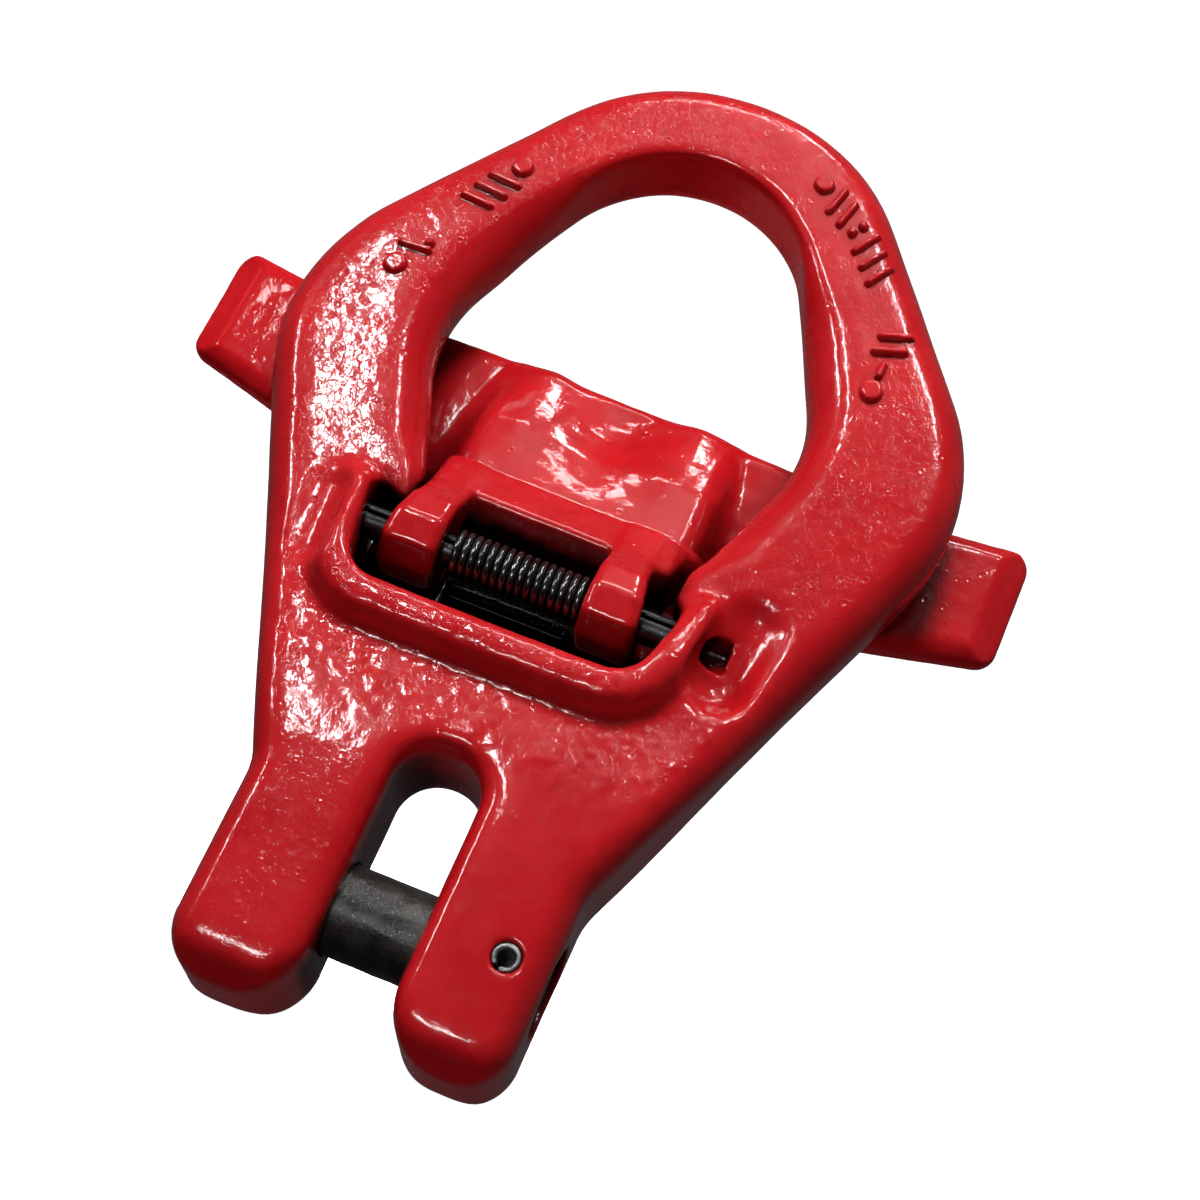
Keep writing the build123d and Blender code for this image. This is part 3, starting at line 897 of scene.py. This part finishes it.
def body_pits(m, x, down):
    """Craters and cracks on the forging's flat faces, strongest below and towards +X."""
    crack = m.noise(size=2.3, detail=3, roughness=0.6, offset=(2.0, 5.0, 9.0))
    crack = m.math("ABSOLUTE", m.math("SUBTRACT", crack, 0.5))
    crack = m.ramp(crack, (0.0, 0.030), to=(-1.0, 0.0))
    normal_y = m.axes(m.node("NewGeometry").outputs["Normal"])[1]
    flat = m.ramp(m.math("ABSOLUTE", normal_y), (0.80, 0.98))
    pits = m.math("ADD", m.product(paint_craters(m), 1.2), m.product(crack, 0.35))
    where = m.product(m.ramp(down, (26.0, 40.0), to=(0.25, 1.0)),
                      m.ramp(x, (-8.0, 24.0), to=(0.30, 1.0)))
    return m.product(pits, where, flat)


def red_paint(name, part):
    """Thick glossy red paint over a forged skin, with painted shade darkening the corners."""
    m = Material(name)
    cloud = m.noise(size=16, detail=3, roughness=0.55)
    blot = m.noise(size=3.4, detail=4, roughness=0.6)
    colour = m.mix(m.ramp(cloud, (0.3, 0.7)), (0.52, 0.006, 0.010), (0.61, 0.011, 0.015))
    colour = m.mix(m.ramp(blot, (0.56, 0.75), to=(0.0, 0.35)), colour, (0.36, 0.004, 0.008))
    # painted shade: the colour darkens where the surface is occluded, reaching further on the flap
    # so that the limbs' shadow falls on it
    corners = m.openness(13.0 if part == "latch" else 7.0)
    colour = m.mix(m.ramp(corners, (0.22, 0.92)), (0.085, 0.0010, 0.002), colour)
    if part != "mark":
        # painted shade: the recesses round the coil and the slot's walls are coloured near black
        x, y, z = m.axes(m.point)
        down, front = m.product(z, -1.0), m.product(y, -1.0)
        bare = (latch_painted_shade if part == "latch" else body_painted_shade)(m, x, down, front)
        colour = m.mix(bare, colour, (0.006, 0.0022, 0.0022))

    lumps = m.noise(size=5.2, detail=3, roughness=0.55, offset=(7.0, 3.0, 1.0))
    normal = m.bump(lumps, depth=0.065, strength=0.9)
    normal = m.bump(m.noise(size=1.9), depth=0.045, strength=0.9, base=normal)
    if part == "body":
        normal = m.bump(body_pits(m, x, down), depth=0.085, base=normal)
    else:
        normal = m.bump(paint_craters(m), depth=0.03, base=normal)
    grain = m.noise(size=0.55, roughness=0.6)
    normal = m.bump(grain, depth=0.016, base=normal)

    # the shine dies in deep corners and where the recesses carry painted shade
    gloss = m.ramp(m.openness(14.0), (0.14, 0.44))
    if part == "latch":
        gloss = m.product(gloss, m.ramp(x, (22.0, 34.0), to=(1.0, 0.35)))
    if part != "mark":
        gloss = m.product(gloss, m.ramp(bare, (0.0, 1.0), to=(1.0, 0.12), kind="LINEAR"))
    rough = m.noise(size=6, detail=4, roughness=0.6)
    m.set(Base_Color=colour, Roughness=m.ramp(rough, (0.3, 0.7), to=(0.22, 0.32)),
          Normal=normal, Coat_Normal=normal, Coat_Weight=m.product(gloss, 0.85),
          Coat_Roughness=m.ramp(blot, (0.3, 0.7), to=(0.035, 0.065)),
          Specular_IOR_Level=m.product(gloss, 0.12))
    return m.material


def black_oxide(name):
    """Black oxide steel with speckles of bare metal and light turning marks."""
    m = Material(name)
    speckle = m.noise(size=0.5, detail=3, roughness=0.65)
    cloud = m.noise(size=5, detail=3)
    colour = m.mix(m.ramp(cloud, (0.35, 0.7)), (0.028, 0.026, 0.024), (0.065, 0.061, 0.056))
    spark = m.product(m.ramp(speckle, (0.60, 0.72)), 0.6)
    colour = m.mix(spark, colour, (0.30, 0.28, 0.26))
    rings = m.node("TexWave", bands_direction="X", Vector=m.point, Scale=0.55, Distortion=1.2)
    normal = m.bump(rings.outputs["Fac"], depth=0.010, strength=0.7)
    normal = m.bump(m.noise(size=0.7, detail=4, roughness=0.65), depth=0.10, base=normal)
    normal = m.bump(m.noise(size=4.0), depth=0.20, strength=0.6, base=normal)
    m.set(Base_Color=colour, Metallic=m.ramp(speckle, (0.5, 0.7), to=(0.45, 0.9)),
          Roughness=m.ramp(cloud, (0.3, 0.7), to=(0.24, 0.36)), Normal=normal)
    return m.material


def steel(name, dark, light, roughness, metallic=0.9, grain=0.5, depth=0.03):
    """Clouded steel with a fine grain, with painted shade darkening the corners."""
    m = Material(name)
    cloud = m.noise(size=2.6, detail=4, roughness=0.6)
    fine = m.noise(size=grain, detail=3, roughness=0.6)
    colour = m.mix(m.ramp(cloud, (0.3, 0.7)), dark, light)
    # painted shade: a darker copy of the colour where the surface is occluded
    corner = tuple(channel * 0.25 for channel in dark)
    colour = m.mix(m.ramp(m.openness(1.6), (0.2, 0.9)), corner, colour)
    normal = m.bump(fine, depth=depth)
    normal = m.bump(cloud, depth=depth * 2.5, strength=0.7, base=normal)
    m.set(Base_Color=colour, Metallic=metallic, Normal=normal,
          Roughness=m.ramp(fine, (0.3, 0.7), to=(roughness * 0.8, roughness * 1.3)))
    return m.material


body_paint = red_paint("red_paint_forged", "body")
latch_paint = red_paint("red_paint_latch", "latch")
mark_paint = red_paint("red_paint_marks", "mark")
oxide = black_oxide("black_oxide_pin")
pin_steel = steel("rolled_pin_steel", dark=(0.22, 0.22, 0.23), light=(0.34, 0.34, 0.35),
                  roughness=0.34)
pivot_steel = steel("pivot_pin_dark", dark=(0.020, 0.020, 0.021),
                    light=(0.050, 0.049, 0.049), roughness=0.32, metallic=0.75)
spring_steel = steel("spring_wire_dark", dark=(0.060, 0.059, 0.058),
                     light=(0.16, 0.158, 0.155), roughness=0.19, metallic=0.95,
                     grain=0.35, depth=0.008)


# ------------------------------------------------------------------ pieces onto the frame
def dress(thing, material):
    thing.data.materials.append(material)


# piece, material, slot, what it rides on, CAD piece it replaces
for thing, material, slot, carrier, cad_piece in (
        (body, body_paint, "red_paint", "frame", "forged_body"),
        (latch, latch_paint, "latch_paint", "latch", "latch_flap"),
        (load_pin, oxide, "black_oxide", "frame", "load_pin"),
        (retaining_pin, pin_steel, "pin_steel", "frame", "retaining_pin"),
        (pivot_pin, pivot_steel, "pivot_steel", "frame", "latch_pivot_pin")):
    dress(thing, material)
    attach(thing, carrier)
    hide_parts(cad_piece)
dress(spring, spring_steel)
# from the coil's +X end to its -X end, on the pivot axis
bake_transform(spring)
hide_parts("torsion_spring")
for thing in marks:
    dress(thing, mark_paint)
    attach(thing, "frame")


# ------------------------------------------------------------------ camera
VIEW_TURN = math.radians(24.14)     # in the picture plane
VIEW_TILT = math.radians(22.822)
VIEW_SWING = math.radians(-7.833)   # about the load line
# load pin from the camera, before the sideways shift: right, down and ahead, in millimetres
VIEW_OFFSET = np.array((-36.73, 53.663, 363.385))
VIEW_SHIFT = np.array((0.9, 0.0, 0.0))


def place_camera():
    """Make the camera and return its place."""
    cos_turn, sin_turn = math.cos(VIEW_TURN), math.sin(VIEW_TURN)
    cos_tilt, sin_tilt = math.cos(VIEW_TILT), math.sin(VIEW_TILT)
    cos_swing, sin_swing = math.cos(VIEW_SWING), math.sin(VIEW_SWING)
    # where -x and down point in the camera's right, down and ahead axes
    side_way = np.array((cos_turn, sin_turn, 0.0))
    down_way = np.array((sin_turn * cos_tilt, -cos_turn * cos_tilt, sin_tilt))
    front_way = np.cross(side_way, down_way)
    swing = np.array(((cos_swing, 0, sin_swing), (0, 1, 0), (-sin_swing, 0, cos_swing)))
    row_to_model = np.array(((-1.0, 0, 0), (0, 0, -1.0), (0, -1.0, 0)))   # to (-x, down, front)
    view = np.stack((side_way, down_way, front_way), 1) @ swing @ row_to_model
    place = Vector((-view.T @ VIEW_OFFSET + VIEW_SHIFT) * MM)
    turn = (np.diag((1.0, -1.0, -1.0)) @ view).T
    lens = bpy.data.cameras.new("camera")
    lens.sensor_fit = "HORIZONTAL"
    lens.sensor_width = 36.0
    lens.lens = 66.0
    lens.clip_start = 0.01
    lens.clip_end = 60.0
    camera = bpy.data.objects.new("camera", lens)
    camera.matrix_world = Matrix.Translation(place) @ Matrix(turn.tolist()).to_4x4()
    bpy.context.scene.collection.objects.link(camera)
    bpy.context.scene.camera = camera
    return place


CAMERA_PLACE = place_camera()


# ------------------------------------------------------------------ floor
FLOOR_Z = -0.1766


def camera_only(tree, seen, other):
    """Mix of two shaders: the first for direct camera rays, the second for all others."""
    path = tree.nodes.new("ShaderNodeLightPath")
    mix = tree.nodes.new("ShaderNodeMixShader")
    tree.links.new(path.outputs["Is Camera Ray"], mix.inputs[0])
    tree.links.new(other, mix.inputs[1])
    tree.links.new(seen, mix.inputs[2])
    return mix.outputs[0]


def floor_white():
    """White that glows a little brighter away from the middle; dull grey off camera."""
    m = Material("floor_white", scale=1.0)
    colour = m.mix(m.noise(size=3.0), (0.90, 0.90, 0.90), (0.93, 0.93, 0.93))
    away = m.node("VectorMath", m.point, operation="LENGTH").outputs["Value"]
    m.set(Base_Color=colour, Roughness=0.8, Emission_Color=(1, 1, 1),
          Emission_Strength=m.ramp(away, (0.10, 0.55), to=(0.98, 1.03)))
    dull = m.node("BsdfDiffuse", (0.30, 0.30, 0.30))
    m.put(m.output.inputs[0], camera_only(m.tree, m.shader.outputs[0], dull.outputs[0]))
    return m.material


bpy.ops.mesh.primitive_plane_add(size=14, location=(0, 0, FLOOR_Z))
floor = bpy.context.object
floor.name = "studio_floor"
floor.data.materials.append(floor_white())
floor.visible_diffuse = False
floor.visible_glossy = False
floor.visible_shadow = False

# ------------------------------------------------------------------ lights
STRIP_DISTANCE = 0.80
LIMB_WAY = (0.41, 0, -0.91)
# Strips shape only the shine:
# name, (x, down, front) of the spot that mirrors it, surface normal there in the same axes,
# width, length, power, row direction its length follows
STRIPS = [
    ("key_left", (42, 78, 10), (0, 0, 1), 0.035, 0.21, 1.45, LIMB_WAY),
    ("edge_outer", (57, 88, 8), (0.27, -0.12, 0.95), 0.055, 0.18, 1.25, LIMB_WAY),
    ("edge_inner", (35, 92, 8), (-0.27, 0.12, 0.95), 0.055, 0.18, 1.25, LIMB_WAY),
    ("edge_bow", (-12, 166, 8), (-0.10, 0.27, 0.95), 0.060, 0.12, 0.85, (0.94, 0, 0.35)),
    ("strip_top", (0, 60, 10), (0, 0.30, 0.95), 0.050, 0.20, 0.65, (1, 0, 0)),
    ("strip_low", (5, 52, 12), (0, -0.32, 0.95), 0.060, 0.20, 1.15, (1, 0, 0))]
SOFT_TARGET = Vector((0, 0, -0.08))
# Soft discs light only the colour: name, place, diameter, power
SOFT_LIGHTS = [
    ("soft_front", (0.05, -0.50, -0.54), 0.20, 4.7),
    ("soft_main", (0.42, -0.30, -0.36), 0.14, 0.95),
    ("soft_right", (-0.85, -0.40, -0.45), 0.16, 0.7),
    ("fill_top", (0.10, -0.30, 0.95), 0.30, 1.9),
    ("soft_back", (0.30, 0.9, -0.05), 0.5, 6.0)]


def area_light(name, place, turn, size, power, length=None):
    """A disc, or a rectangle if it has a length."""
    lamp = bpy.data.lights.new(name, "AREA")
    lamp.energy = power
    lamp.spread = math.pi
    lamp.shape = "RECTANGLE" if length else "DISK"
    lamp.size = size
    if length:
        lamp.size_y = length
    light = bpy.data.objects.new(name, lamp)
    light.location = place
    light.rotation_mode = "QUATERNION"
    light.rotation_quaternion = turn
    bpy.context.scene.collection.objects.link(light)
    light.visible_camera = False
    return light


def strip_light(name, spot, normal, width, length, power, along):
    """A panel placed where the camera sees it mirrored in the surface at the spot."""
    spot = to_row(*spot) * MM
    normal = to_row(*normal).normalized()
    to_camera = (CAMERA_PLACE - spot).normalized()
    place = spot + ((2 * normal.dot(to_camera)) * normal - to_camera) * STRIP_DISTANCE
    z = (place - spot).normalized()
    y = (Vector(along) - Vector(along).dot(z) * z).normalized()
    turn = Matrix((y.cross(z), y, z)).transposed().to_quaternion()
    area_light(name, place, turn, width, power, length).visible_diffuse = False


for row in STRIPS:
    strip_light(*row)
for name, place, size, power in SOFT_LIGHTS:
    turn = (SOFT_TARGET - Vector(place)).to_track_quat("-Z", "Y")
    area_light(name, place, turn, size, power).visible_glossy = False


# ------------------------------------------------------------------ world
def make_world():
    """White to the camera; for other rays a dim cool grey, brighter below."""
    world = bpy.data.worlds.new("world")
    world.use_nodes = True
    tree = world.node_tree
    dim = tree.nodes["Background"]
    dim.inputs[0].default_value = (0.80, 0.82, 0.86, 1)
    way = tree.nodes.new("ShaderNodeTexCoord")
    axes = tree.nodes.new("ShaderNodeSeparateXYZ")
    tree.links.new(way.outputs["Generated"], axes.inputs[0])
    strength = tree.nodes.new("ShaderNodeMapRange")
    tree.links.new(axes.outputs["Z"], strength.inputs["Value"])
    for key, value in (("From Min", -0.8), ("From Max", 0.6), ("To Min", 0.11), ("To Max", 0.010)):
        strength.inputs[key].default_value = value
    tree.links.new(strength.outputs["Result"], dim.inputs[1])
    white = tree.nodes.new("ShaderNodeBackground")
    white.inputs[0].default_value = (1, 1, 1, 1)
    white.inputs[1].default_value = 1.05
    tree.links.new(camera_only(tree, white.outputs[0], dim.outputs[0]),
                   tree.nodes["World Output"].inputs[0])
    return world


bpy.context.scene.world = make_world()
bpy.context.scene.view_settings.view_transform = "Standard"
